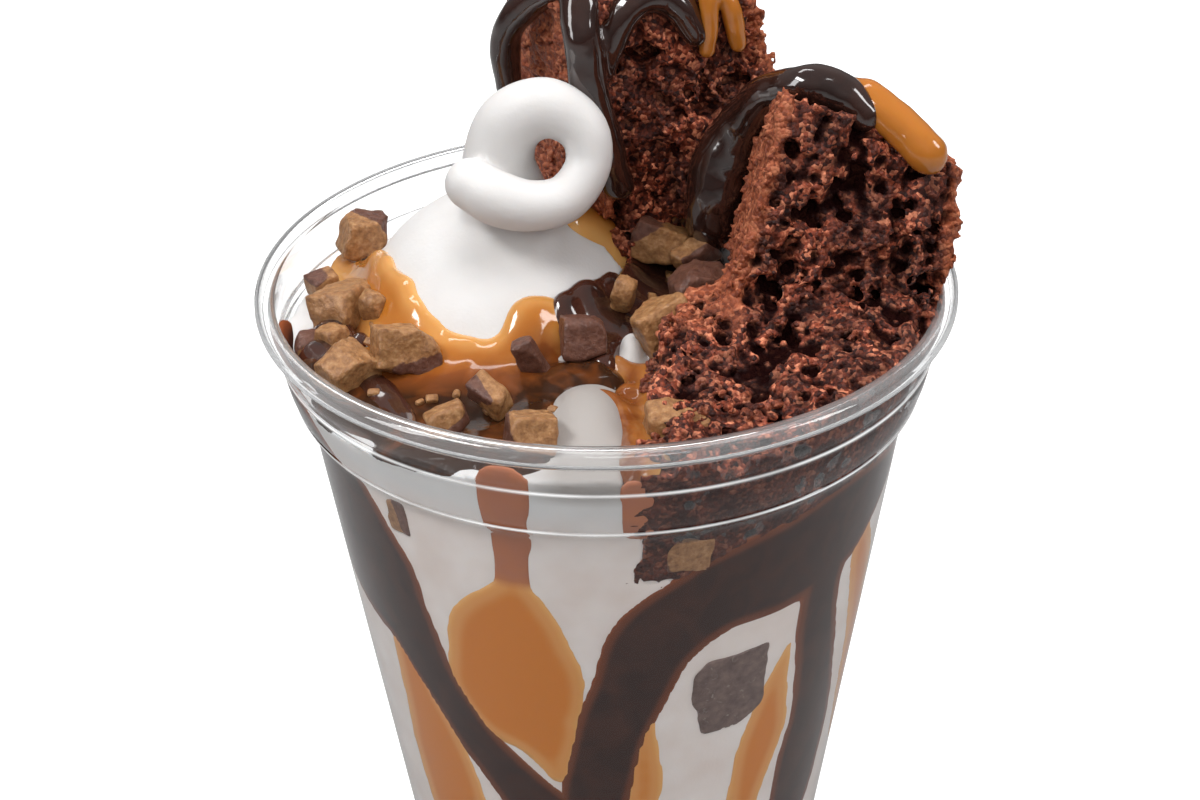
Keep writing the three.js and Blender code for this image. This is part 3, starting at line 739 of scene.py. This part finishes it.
# ---------------------------------------------------------------- sauce on the wall
# The middle lines of each band: [degrees round from the front, height, half width].
BANDS = {
    "fudge_left": [
        [[-84, 95, 7], [-72, 88, 13], [-60, 77.5, 13], [-48.5, 70, 8.2], [-42.5, 62.5, 5.4], [-37, 56, 4.6],
         [-31.2, 49.8, 4.6], [-22.9, 42.7, 5.2], [-14, 35.5, 6], [-4, 27, 4.5]],
    ],
    "fudge_front": [
        [[66, 84, 5], [50, 82, 9], [35, 81, 8.6], [20, 79, 7.4], [9, 72.5, 6.8], [3.5, 63, 5.6],
         [-1.5, 53, 5.6], [-5, 42, 5.8], [-7, 30, 4]],
        [[47, 78, 5], [46.5, 68, 4.8], [49, 58, 5.4], [51, 48, 6.2], [51, 39, 7.6], [50, 28, 7]],
    ],
    "fudge_back": [[[104, 88, 6], [118, 84, 8], [134, 74, 8], [146, 60, 7], [152, 44, 6.5], [154, 30, 5]]],
    "fudge_back_left": [
        [[-110, 54, 4], [-122, 66, 6], [-136, 74, 7], [-152, 68, 7], [-163, 54, 6.5], [-168, 38, 5.5]],
    ],
    "caramel_left": [[[-49, 62, 2.4], [-47, 54, 4.6], [-45, 46, 6.6], [-43.5, 37, 8.2], [-43, 26, 7]]],
    "caramel_blob": [
        [[-16.7, 100.4, 3.5], [-17.2, 93, 3.0], [-18, 82, 3.0], [-18.6, 77.5, 5.4], [-20.2, 71, 9],
         [-20.2, 63, 10.4], [-20, 59.5, 9], [-16, 54.5, 6.2], [-12.6, 47, 3.2]],
    ],
    "caramel_drop": [[[7.5, 58, 1.2], [6.4, 51, 2.4], [6.6, 44, 2.8], [5, 36, 2.2]]],
    "caramel_right": [[[38.6, 65, 1], [36, 58, 3.2], [35, 50, 4.2], [33, 41, 4.6], [31, 30, 3.6]]],
    "caramel_far_right": [[[57, 79, 2.2], [63, 69, 4.4], [68, 59, 5.2], [72, 47, 5.2], [74, 34, 4]]],
    "caramel_rear": [[[172, 92, 3], [176, 80, 6], [171, 66, 8], [177, 50, 6], [182, 36, 3.5]]],
    "caramel_rear_left": [[[-92, 64, 2.4], [-96, 54, 5], [-93, 43, 6.4], [-97, 30, 4.6]]],
    "caramel_stream": [[[4.6, 100.6, 2.0], [4.2, 97, 2.5], [4.4, 92.6, 2.1]]],
}
# Bands that run down from the top, and are darker there.
STEMS = ("caramel_blob", "caramel_stream")


def make_band(name, paths, order):
    """A band of sauce on the inside of the wall, worked out flat and then bent round the cup."""
    samples = []
    for path in paths:
        flat = [[math.radians(turn) * WALL_SCALE, z, 0, half] for turn, z, half in path]
        samples.append(even_path(flat, 1.0))
    samples = np.vstack(samples)
    reach = samples[:, 3].max() + 3
    low = [samples[:, 0].min() - reach, samples[:, 1].min() - reach, -0.9]
    high = [samples[:, 0].max() + reach, samples[:, 1].max() + reach, 2.6]
    field = Field(low, high, BAND_STEP)
    u, z, w = field.grid()
    flat = np.full((len(field.axes[0]), len(field.axes[1]), 1), FAR)
    for a, b, _, half in samples:
        flat = np.minimum(flat, np.sqrt((u - a) ** 2 + (z - b) ** 2) - half)
    flat = flat + 0.7 * field.flat_noise(12, 40 + order)
    depth = np.minimum(1.6, 0.5 + 0.35 * np.clip(-flat, 0, 9))
    proud = -(REACH_SAUCE + 0.012 * (10 - order))
    field.values = common(common(flat, w - depth, 0.4), proud - w, 0.05)
    vertices, quads = field.mesh(relax=1)
    inward = field.sample(np.repeat(-flat, len(field.axes[2]), 2), vertices)
    along, height, off = vertices.T
    radius = BASE_RADIUS - WALL + WALL_SLOPE * height - off
    radius = np.where(height > WALL_TOP - 1, inner_radius(height) - off, radius)
    turn = along / WALL_SCALE
    bent = np.stack([radius * np.sin(turn), -radius * np.cos(turn), height], 1)
    kind = name.split("_")[0]
    material, full = (WALL_FUDGE, 2.2) if kind == "fudge" else (WALL_CARAMEL, 3.4)
    stem = clamp((height - 81.5) / 2.5) * (name in STEMS)
    tones = {"depth": clamp(inward / full), "dark": stem}
    piece(name + "_wall", bent, quads[:, ::-1], material, [name], tones)


make_cup()
make_soft_serve()
for number, (band, paths) in enumerate(BANDS.items()):
    make_band(band, paths, number)


# ---------------------------------------------------------------- brownies
def crumb_surface(field, crust, holes, grains, seed):
    """Breaks a smooth block into open crumb: uneven, holed and grainy, less so where crust is near 1."""
    broken = 1 - 0.85 * crust
    lumps = 0.8 * lattice_noise(field.axes, 7.5, seed) + 1.1 * lattice_noise(field.axes, 3.0, seed + 1, 3)
    wide = clamp(-0.17 - lattice_noise(field.axes, 4.6, seed + 3, 3)) * 4.4
    narrow = clamp(-0.16 - lattice_noise(field.axes, 2.4, seed + 4, 3)) * 2.6
    field.values = field.values + broken * (lumps + wide + narrow)
    field.values = field.values + 0.28 * lattice_noise(field.axes, 1.1, seed + 2)
    spots = field.near_surface(holes, field.step, crust < 0.5)
    field.balls(np.column_stack([spots, 0.35 + 0.9 * rng.power(0.5, holes)]), 0.2, carve=True)
    spots = field.near_surface(grains, field.step)
    field.balls(np.column_stack([spots, rng.uniform(0.28, 0.6, grains)]), 0.15)


def make_brownie(name, low, high, blocks, seed, holes, grains, nodes, inside=False):
    """Crumb in the form of joined blocks [corners, rounding], cut to the cup's wall if it is inside."""
    field = Field(low, high, CRUMB_STEP)
    x, y, z = field.grid()
    body = joined((block(x, y, z, corners, rounding) for corners, rounding in blocks), 4.0)
    slab = blocks[0][0]
    crust = 0
    for face, start in (FACES[2], 107), (FACES[3], 95):
        side = beyond(x, y, z, *outer_face(slab, face))
        crust = np.maximum(crust, clamp(1.6 + side / 0.8) * clamp((z - start) / 4))
    crust = crust * clamp((y + 22) / 3)
    wall = np.hypot(x, y) - inner_radius(z) - REACH_CRUMB - 0.4 * np.clip(z - CUP_HEIGHT, 0, None)
    wall = wall if inside else np.full(wall.shape, -FAR)
    body = np.broadcast_to(np.maximum(body - 0.7, wall - 0.9), [len(a) for a in field.axes])
    field.values = body
    crumb_surface(field, crust, holes, grains, seed)
    field.values = np.maximum(field.values, -np.maximum(z - level(x, y) + 5, np.hypot(x, y) - 36))
    field.values = np.maximum(field.values, wall)
    vertices, quads = without_specks(*field.mesh(relax=1), least=2500)
    # Painted shade for the pits: darkest in hollows of the surface and deep inside the block, weaker on the
    # crust.
    hollow = field.sample(softened(np.clip(field.values, -1.6, 1.6), 3), vertices)
    deep = clamp((-field.sample(body, vertices) - 1.2) / 2.4)
    baked = field.sample(crust, vertices)
    pit = clamp(0.26 - 1.9 * hollow + deep) * (1 - 0.55 * baked)
    pressed = clamp(1 + (field.sample(np.broadcast_to(wall, body.shape), vertices) + 0.1) / 0.5)
    # The back brownie gets under half the painted pit shade, which lightens it.
    tones = {"pit": pit * (1.0 if inside else 0.45), "crust": clamp(baked),
             "pressed": pressed * (vertices[:, 2] < CUP_HEIGHT - 1)}
    piece(name, vertices, quads, CRUMB, nodes, tones)


def make_brownies():
    make_brownie("brownie_back_crumb", (-16, 6, 98), (33, 38, 147.2), [(BROWNIE_BACK, 1.6)],
                 21, 1200, 4200, ["brownie_back"])
    make_brownie("brownie_right_crumb", (-1, -47.5, 82), (48.9, 12.2, 138.5),
                 [(BROWNIE_RIGHT, 1.4), (BROWNIE_FOOT, 2.0)], 33, 1800, 7000, ["brownie_right"],
                 inside=True)


# ---------------------------------------------------------------- sauce over the top
def spread(x, y, discs, blend):
    """How far inside a patch of joined discs [x, y, radius] each place is, in plan."""
    return -joined((np.sqrt((x - a) ** 2 + (y - b) ** 2) - r for a, b, r in discs), blend)


def line_discs(points):
    """Discs [x, y, radius] along a smooth line."""
    flat = [[x, y, 0, r] for x, y, r in points]
    return [[a, b, r] for a, b, _, r in even_path(flat, 1.2)]


def make_layer(name, discs, low, high, thickness, steep, material, nodes, seed, dark, blend=2.0):
    """Sauce on the soft serve, thickness deep, slower to rise from its edge the larger steep is."""
    field = Field(low, high, LAYER_STEP)
    x, y, z = field.grid()
    inside = spread(x, y, discs, blend)
    inside = inside + 0.55 * field.flat_noise(5, seed)
    rise = thickness * (1 - np.exp(-np.clip(inside, 0, 30) / steep)) + np.minimum(inside, 0) * 1.5
    rise = rise + 0.22 * field.flat_noise(4.5, seed + 1)
    ground = bed(x, y, z)
    field.values = common(ground - rise, -(ground + 1.2), 0.3)
    wall = np.hypot(x, y) - inner_radius(z) - REACH_SAUCE
    field.values = np.maximum(field.values, wall)
    vertices, quads = without_specks(*field.mesh(relax=2), least=60)
    reach = field.sample(np.repeat(inside, len(field.axes[2]), 2), vertices)
    tones = {"depth": clamp(reach / 3.2), "dark": dark(*vertices.T[:2])}
    piece(name, vertices, quads, material, nodes, tones)


# The collar of caramel round the dome: [x, y, radius].
RING = [
    [-41, 22.2, 2.0], [-37.5, 16.5, 2.4], [-34.4, 8, 2.8], [-33.4, 2.2, 3.0], [-30.9, -3.5, 3.0],
    [-28.9, -7.3, 3.0], [-26.6, -10.2, 3.0], [-23.9, -12.4, 3.0], [-20.8, -14.2, 3.0],
    [-18, -15.2, 3.0], [-15.3, -15.3, 3.0], [-13.3, -14.5, 3.0], [-11.8, -13, 3.0], [-10.2, -11.4, 3.0],
    [-8.1, -10.1, 2.9], [-6.4, -9.7, 2.6],
]


def never_dark(x, y):
    return np.zeros(len(x))


def pool_dark(x, y):
    """The caramel turns dark brown towards the front and the right, where fudge is mixed in."""
    front = (-12.6 - y) / 10.0
    right = clamp((x + 14.5) / 6) * clamp((-10.5 - y) / 5)
    left = clamp((-33 - x) / 4) * clamp((2 - y) / 5)
    return clamp(np.maximum(np.maximum(front, right), left))


def stream_dark(x, y):
    """The stream is part fudge, least on its right."""
    return 0.5 - 0.4 * clamp((x - 3.6) / 2.5)


def make_top_sauces():
    pool = line_discs(RING)
    pool += [[-19, -24, 12], [-29, -20, 10], [-37, -12, 6], [-12, -28, 8], [-10, -22, 6], [-5, -19.5, 5.4],
             [-22, -34, 8], [-12, -38, 5.5], [-40, -4, 3.5], [-1.8, -17.2, 3.4], [0.4, -19.8, 2.8]]
    make_layer("caramel_pool_top", pool, (-47, -47, 93), (3, 25, 110), 1.9, 1.5, CARAMEL,
               ["caramel_pool", "caramel_collar"], 61, pool_dark)
    fudge = [[-4.5, -8.5, 3.2], [-1, -6, 4.2], [3, -2, 4.4], [6.5, 3, 4.8], [9, 9, 5.4], [9, 15, 5],
             [13, 8, 5], [12, 0, 5], [2, -8, 4.2], [7, -10, 5], [12, -12, 6], [-0.6, -12.6, 3.2],
             [-0.2, -15.6, 2.0]]
    make_layer("fudge_pool_top", fudge, (-12, -24, 95), (22, 24, 114), 2.4, 1.1, FUDGE,
               ["fudge_pool", "fudge_run"], 71, never_dark)
    drip = line_discs([[-35, -13, 1.7], [-33, -16.5, 2.0], [-30.5, -20.4, 2.3], [-28.6, -23.5, 2.4],
                       [-26, -29, 2.2], [-23.6, -34.5, 2.6]])
    drip += [[-38, -4, 3.4], [-39.5, -10, 3.2], [-37, -14.5, 3.2], [-34.5, -8, 2.6]]
    make_layer("fudge_drip_top", drip, (-46, -41, 94), (-19, 3, 106), 2.9, 0.9, FUDGE,
               ["fudge_drip"], 81, never_dark)
    stream = line_discs([[-4.6, -25, 1.5], [-1.5, -24.6, 1.7], [1.4, -26.6, 1.9], [3.0, -30, 2.2],
                         [4.0, -35, 2.4], [4.2, -44, 2.6]])
    stream += line_discs([[1.4, -15.4, 1.6], [4.8, -19, 2.6], [6.4, -24, 2.8], [7.2, -31, 2.6]])
    stream += [[3.4, -23, 2.6], [5, -27, 2.4]]
    make_layer("caramel_stream_top", stream, (-9, -47, 94), (12, -10, 108), 2.6, 1.0, CARAMEL,
               ["caramel_stream"], 91, stream_dark, blend=1.0)
    patch = line_discs([[-4.4, 8.4, 2.2], [-0.6, 11, 3.2], [4, 13.6, 3.6], [8, 16.5, 3.2]])
    make_layer("caramel_patch_top", patch, (-9, 2, 98), (14, 23, 116), 1.7, 1.0, CARAMEL,
               ["caramel_patch"], 101, never_dark)


# The middle line of each ribbon: [x, y, z, radius].
RIBBONS = {
    "fudge_valley": [
        [16.4, 11.6, 106, 4], [16, 8.4, 112, 4.8], [17, 8.6, 119.4, 4.6], [19.4, 7.4, 126, 3.4],
        [22.2, 3, 132, 2.6], [26.4, -1.2, 135, 2.7], [31, -1.4, 134.2, 3], [34.8, -3, 131.6, 2.4],
    ],
    "caramel_ribbon": [
        [32.6, 3.4, 132.6, 1.8], [35.4, -0.6, 132.8, 2.4], [39.4, -3.8, 130.2, 2.7],
        [42.8, -6.8, 127.4, 2.8],
    ],
    "fudge_ribbon_left": [
        [-1.6, 14.4, 144.6, 2.2], [-7.4, 15.6, 143, 2.4], [-12, 17.2, 138.4, 2.3],
        [-13.6, 18.6, 133.4, 2.2], [-13.4, 19, 127.4, 1.8],
    ],
    "fudge_ribbon_centre": [
        [-5, 19, 144.2, 2.4], [-3.4, 12, 144.2, 2.8], [-2.6, 8.4, 138.6, 2.8], [-1.8, 7.8, 131.6, 2.6],
        [0.2, 8, 124.4, 2.5], [2, 8.4, 116.6, 2.2],
    ],
    "fudge_ribbon_arc": [
        [0.4, 10.2, 133, 1.6], [2, 11.4, 139.2, 2.4], [5.8, 13, 142.4, 2.6], [10, 13.6, 141.4, 2.6],
        [13, 13.4, 137, 1.8],
    ],
    "caramel_drip_a": [
        [12.6, 19, 143.6, 1.3], [14.4, 14.6, 143, 1.4], [15, 13.4, 138, 1.3], [14.6, 13.4, 134.6, 1.2],
    ],
    "caramel_drip_b": [
        [15.4, 20, 143, 1.3], [17, 15.8, 142.2, 1.4], [18.4, 15, 137.6, 1.6], [19, 15, 134.8, 1.4],
    ],
}


def make_ribbon(name, material, nodes, seed):
    """One piece of the ribbons that stand for those nodes."""
    paths = [RIBBONS[node] for node in nodes]
    points = np.vstack(paths)
    reach = points[:, 3].max() + 2.5
    most = np.minimum(points[:, :3].max(0) + reach, [MOST_OUT, MOST_OUT, TOP_LIMIT + 0.5])
    field = Field(points[:, :3].min(0) - reach, most, RIBBON_STEP)
    for path in paths:
        field.strand(path, 1.2)
    field.values = field.values + 0.25 * lattice_noise(field.axes, 4, seed, 2)
    field.values = np.maximum(field.values, field.grid()[2] - TOP_LIMIT)
    vertices, quads = without_specks(*field.mesh(relax=2), least=40)
    tones = {"depth": np.ones(len(vertices)), "dark": np.zeros(len(vertices))}
    piece(name, vertices, quads, material, nodes, tones)


def make_ribbons():
    groups = [
        ("fudge_valley_top", FUDGE, ["fudge_valley"]),
        ("fudge_ribbons_top", FUDGE, ["fudge_ribbon_left", "fudge_ribbon_centre", "fudge_ribbon_arc"]),
        ("caramel_ribbon_top", CARAMEL, ["caramel_ribbon"]),
        ("caramel_drips_top", CARAMEL, ["caramel_drip_a", "caramel_drip_b"]),
    ]
    for index, (name, material, nodes) in enumerate(groups):
        make_ribbon(name, material, nodes, 111 + 10 * index)


# ---------------------------------------------------------------- chopped candy
# Each piece on top: [x, y, z, its width, depth and height, degrees turned].
CANDIES = [
    [-36.2, 20.6, 103.6, 6, 5.4, 6.8, 20],
    [-41.2, 9.6, 100.6, 4, 4.2, 4.4, 35],
    [-37, 0.8, 102, 6, 8.4, 5.6, -30],
    [-41.6, -7, 99.8, 3.6, 4, 4, 10],
    [-37.8, -7.6, 101.4, 4.2, 4.6, 4.2, 50],
    [-35, -18, 102.6, 6.6, 6, 6.6, 40],
    [-27.6, -14.4, 103.4, 8.8, 5.6, 5.8, 25],
    [-32.4, -2.4, 103, 3.4, 3.2, 6.6, -35],
    [-20.6, -32.4, 103, 5, 4, 3.6, 15],
    [-15.4, -27, 103.2, 5.4, 3.4, 4, -40],
    [-9.9, -36.6, 103.6, 6, 5, 4.6, 10],
    [-10.4, -17.6, 103.6, 3.4, 2.6, 6.6, -15],
    [-3.3, -13.4, 104, 5.6, 5, 5.6, 8],
    [2.4, -5.6, 106.4, 2.8, 2.8, 5.6, -20],
    [8.1, -12.6, 104.4, 7.4, 6.4, 8.4, 25],
    [8.6, -34.6, 102.4, 7.6, 5, 6.2, 5],
    [8, 9.6, 106.6, 7.4, 6, 5.6, -18],
    [12.8, 5.4, 106.8, 6.4, 3.4, 3.4, 28],
    [13.2, -3.4, 105.6, 7.8, 6.4, 6.6, 12],
    [9.4, 15.4, 109.4, 5.4, 4.4, 6, -35],
    [13.2, 13.4, 107.6, 4.6, 3.8, 4, 40],
]
# The share of each piece that is coated, where it isn't the usual one.
COATED = {1: 0.3, 2: 0.15, 4: 0.9, 6: 0.12, 7: 0.12, 9: 0.5, 11: 0.3, 12: 1.0, 13: 1.0, 19: 0.7, 20: 0.4}
USUAL_COAT = 0.2
# Each piece at the wall: [degrees round from the front, height, its width, depth and height].
WALL_CANDIES = [[24.5, 60.5, 10, 5, 13], [14.2, 87.2, 5.6, 3.4, 5.6], [-41.5, 88.2, 3.4, 3, 5.4]]


def turn_about(axis, angle):
    return np.array(Matrix.Rotation(angle, 3, axis))


def chipped(size, seed, step, cuts, coat=0.4):
    """One broken lump of that size about the origin: cut faces, a few chips and a coat on one side."""
    local = np.random.default_rng(seed)
    half = np.asarray(size, float) / 2
    field = Field(-half * 1.25 - step, half * 1.25 + step, step)
    x, y, z = field.grid()
    body = common(common(np.abs(x) - half[0], np.abs(y) - half[1], 0.25), np.abs(z) - half[2], 0.25)
    for _ in range(cuts):
        normal = unit(local.normal(size=3))
        reach = np.abs(normal) @ half * local.uniform(0.62, 0.86)
        body = common(body, beyond(x, y, z, (0, 0, 0), normal) - reach, 0.2)
    body = body + 0.16 * lattice_noise(field.axes, 1.6, seed, 2) * min(1.5, half.min() / 2)
    field.values = body
    vertices, quads = field.mesh(relax=0)
    cover = (vertices / half) @ unit(local.normal(size=3))
    share = clamp(0.5 + (cover - np.quantile(cover, 1 - coat)) * 2.2)
    return vertices, quads, share if coat < 1 else np.ones(len(vertices))


def make_candies():
    for index, (x, y, z, wide, deep, tall, turn) in enumerate(CANDIES):
        coat = COATED.get(index + 1, USUAL_COAT)
        size = (wide * 1.05, deep * 1.05, tall * 1.05)
        vertices, quads, share = chipped(size, 200 + index, 0.4, 7, coat)
        turned_by = (turn_about("Z", math.radians(turn)) @ turn_about("Y", 0.35 * math.cos(2 * index))
                     @ turn_about("X", 0.35 * math.sin(3 * index)))
        name = f"candy_{index + 1:02d}"
        vertices = vertices @ turned_by.T + [x, y, z]
        piece(name + "_lump", vertices, quads, CANDY, [name], {"coat": share})
    for index, (turn, z, wide, deep, tall) in enumerate(WALL_CANDIES):
        material, slot, coat = (CANDY, "candy", 0.3) if index else (CHOCOLATE, "chocolate", 1)
        vertices, quads, share = chipped((wide * 1.15, deep, tall * 1.1), 260 + index, 0.45, 6, coat)
        angle = math.radians(turn)
        vertices = vertices @ (turn_about("Z", angle) @ turn_about("X", math.atan(WALL_SLOPE))).T
        radius = inner_radius(z) + REACH_ICE - deep / 2 + 0.35
        vertices = vertices + [radius * math.sin(angle), -radius * math.cos(angle), z]
        limit = inner_radius(vertices[:, 2]) + REACH_SAUCE + 0.12
        away = np.hypot(vertices[:, 0], vertices[:, 1])
        vertices[:, :2] *= np.minimum(1, limit / away)[:, None]
        name = f"candy_wall_{index + 1}"
        piece(name + "_lump", vertices, quads, material, [name], {"coat": share})


# ---------------------------------------------------------------- crumbs
def scatter(name, lines, sizes, lift, material, tone, value, seed):
    """Small chips along lines [start, end, how many, spread] on the filling, as one mesh."""
    shapes = [chipped((2.4, 1.7, 1.5), seed + i, 0.42, 5)[:2] for i in range(6)]
    corners, sides, start_at = [], [], 0
    for start, end, count, wide in lines:
        for _ in range(count):
            share = rng.uniform()
            x, y = np.array(start) * (1 - share) + np.array(end) * share + rng.normal(0, wide / 2, 2)
            if np.hypot(x, y) > 43.5:
                continue
            z = level(x, y) + rng.uniform(*lift)
            vertices, quads = shapes[rng.integers(len(shapes))]
            spin = turn_about("Z", rng.uniform(0, 6.28)) @ turn_about("X", rng.uniform(0, 6.28))
            corners.append(vertices @ spin.T * rng.uniform(*sizes) + [x, y, z])
            sides.append(quads + start_at)
            start_at += len(vertices)
    piece(name, np.vstack(corners), np.vstack(sides), material, (), {tone: np.full(start_at, value)})


def make_crumbs():
    around = [([6, -17], [11, -30], 46, 2.2), ([12, -33], [30, -38], 40, 2.5),
              ([6, -40], [14, -30], 20, 2.5), ([14, -6], [9, -18], 26, 2.0), ([14, 6], [18, 2], 14, 2.0)]
    scatter("brownie_crumbs", around, (0.25, 0.85), (0.8, 3.0), CRUMB, "crust", 0.25, 300)
    chips = [([-40, 4], [-30, -14], 9, 3.0), ([-30, -20], [-8, -30], 8, 4.0), ([0, -8], [10, 6], 9, 3.0),
             ([6, -34], [12, -24], 5, 2.0)]
    scatter("candy_chips", chips, (0.35, 0.9), (1.6, 2.4), CANDY, "coat", 0.0, 320)


make_brownies()
make_top_sauces()
make_ribbons()
make_candies()
make_crumbs()


# ---------------------------------------------------------------- camera, floor and light
def look(position, pitch, yaw, roll, lens):
    """A camera at a place in millimetres, turned by pitch down, yaw and roll in degrees."""
    data = bpy.data.cameras.new("camera")
    data.lens = lens
    data.sensor_width = 36
    data.sensor_fit = "HORIZONTAL"
    data.clip_start = 0.01
    data.clip_end = 50
    camera = bpy.data.objects.new("camera", data)
    turns = (-yaw, "Z"), (90 - pitch, "X"), (roll, "Z")
    camera.matrix_world = Matrix.Translation(Vector(position) * MM)
    for angle, axis in turns:
        camera.matrix_world = camera.matrix_world @ Matrix.Rotation(math.radians(angle), 4, axis)
    bpy.context.scene.collection.objects.link(camera)
    bpy.context.scene.camera = camera


def softbox(name, place, height, size, power, hidden):
    """A soft lamp aimed at a height on the axis, hidden from the camera and from one kind of ray."""
    data = bpy.data.lights.new(name, "AREA")
    data.shape = "RECTANGLE"
    data.size, data.size_y = size
    data.energy = power
    lamp = bpy.data.objects.new(name, data)
    lamp.location = place
    lamp.rotation_euler = (Vector(place) - Vector((0, 0, height))).to_track_quat("Z", "Y").to_euler()
    bpy.context.scene.collection.objects.link(lamp)
    lamp.visible_camera = False
    setattr(lamp, "visible_" + hidden, False)


def floor():
    """A plain pale floor that glows a little, as a lit white sweep does."""
    m = Nodes("floor")
    plain = m.shader("ShaderNodeBsdfDiffuse", Color=(0.3, 0.3, 0.3))
    path = m.add("ShaderNodeLightPath").outputs
    away = m.add("ShaderNodeVectorMath", {0: m.at}, operation="LENGTH").outputs["Value"]
    near = m.ramp(m.math("DIVIDE", away, 1.2), [(0.3, 0.92), (0.8, 0.3)])
    straight = m.math("LESS_THAN", m.plus(path["Glossy Depth"], path["Diffuse Depth"]), 0.5)
    through = m.times(m.times(path["Is Transmission Ray"], straight), near)
    seen = m.math("MAXIMUM", path["Is Camera Ray"], through)
    glow = m.shader("ShaderNodeEmission", Color=(1, 1, 1), Strength=m.plus(seen, 0.07))
    m.finish(m.both(plain, glow))
    corners = 4000 * np.array([[-1, -1, 0], [1, -1, 0], [1, 1, 0], [-1, 1, 0]])
    made = placed("floor", make_mesh("floor", corners, np.array([[0, 1, 2, 3]]), {}), m.material)


def surroundings():
    """Pale studio walls, darker low down so that clear plastic shows its edges, and white to the camera."""
    world = bpy.data.worlds.new("studio")
    bpy.context.scene.world = world
    m = Nodes("studio", world)
    height = m.add("ShaderNodeSeparateXYZ", {"Vector": m.at}).outputs["Z"]
    colour = m.ramp(height, [(0.0, (0.20, 0.20, 0.21)), (0.55, (0.78, 0.78, 0.78))])
    pale = m.shader("ShaderNodeBackground", Color=colour, Strength=0.34)
    white = m.shader("ShaderNodeBackground", Color=(1, 1, 1), Strength=1.0)
    m.finish(m.either(m.add("ShaderNodeLightPath").outputs["Is Camera Ray"], pale, white))


# Each lamp: name, place, height that it aims at, size, power and the kind of ray it is hidden from.
LAMPS = [
    ["key", (-0.55, -0.25, 0.85), 0.1, (0.42, 0.2), 4.8, "camera"],
    ["top", (0.15, 0.1, 1.1), 0.1, (0.7, 0.7), 6.2, "glossy"],
    ["front", (0.15, -0.85, 0.66), 0.1, (0.5, 0.4), 2.9, "glossy"],
    ["glint", (-0.15, 0.4, 1.0), 0.12, (0.5, 0.12), 1.2, "camera"],
    ["gleam", (-0.85, -0.35, 0.55), 0.12, (0.3, 0.6), 3.5, "diffuse"],
    ["right", (0.72, -0.2, 0.62), 0.1, (0.2, 0.4), 2.0, "camera"],
    ["back", (0.1, 0.8, 0.6), 0.1, (0.9, 0.3), 3.0, "glossy"],
]

bpy.context.scene.view_settings.view_transform = "Standard"
look((0, -257.787, 240.893), 30.970, -0.258, -1.165, 62.0)
floor()
surroundings()
for lamp in LAMPS:
    softbox(*lamp)
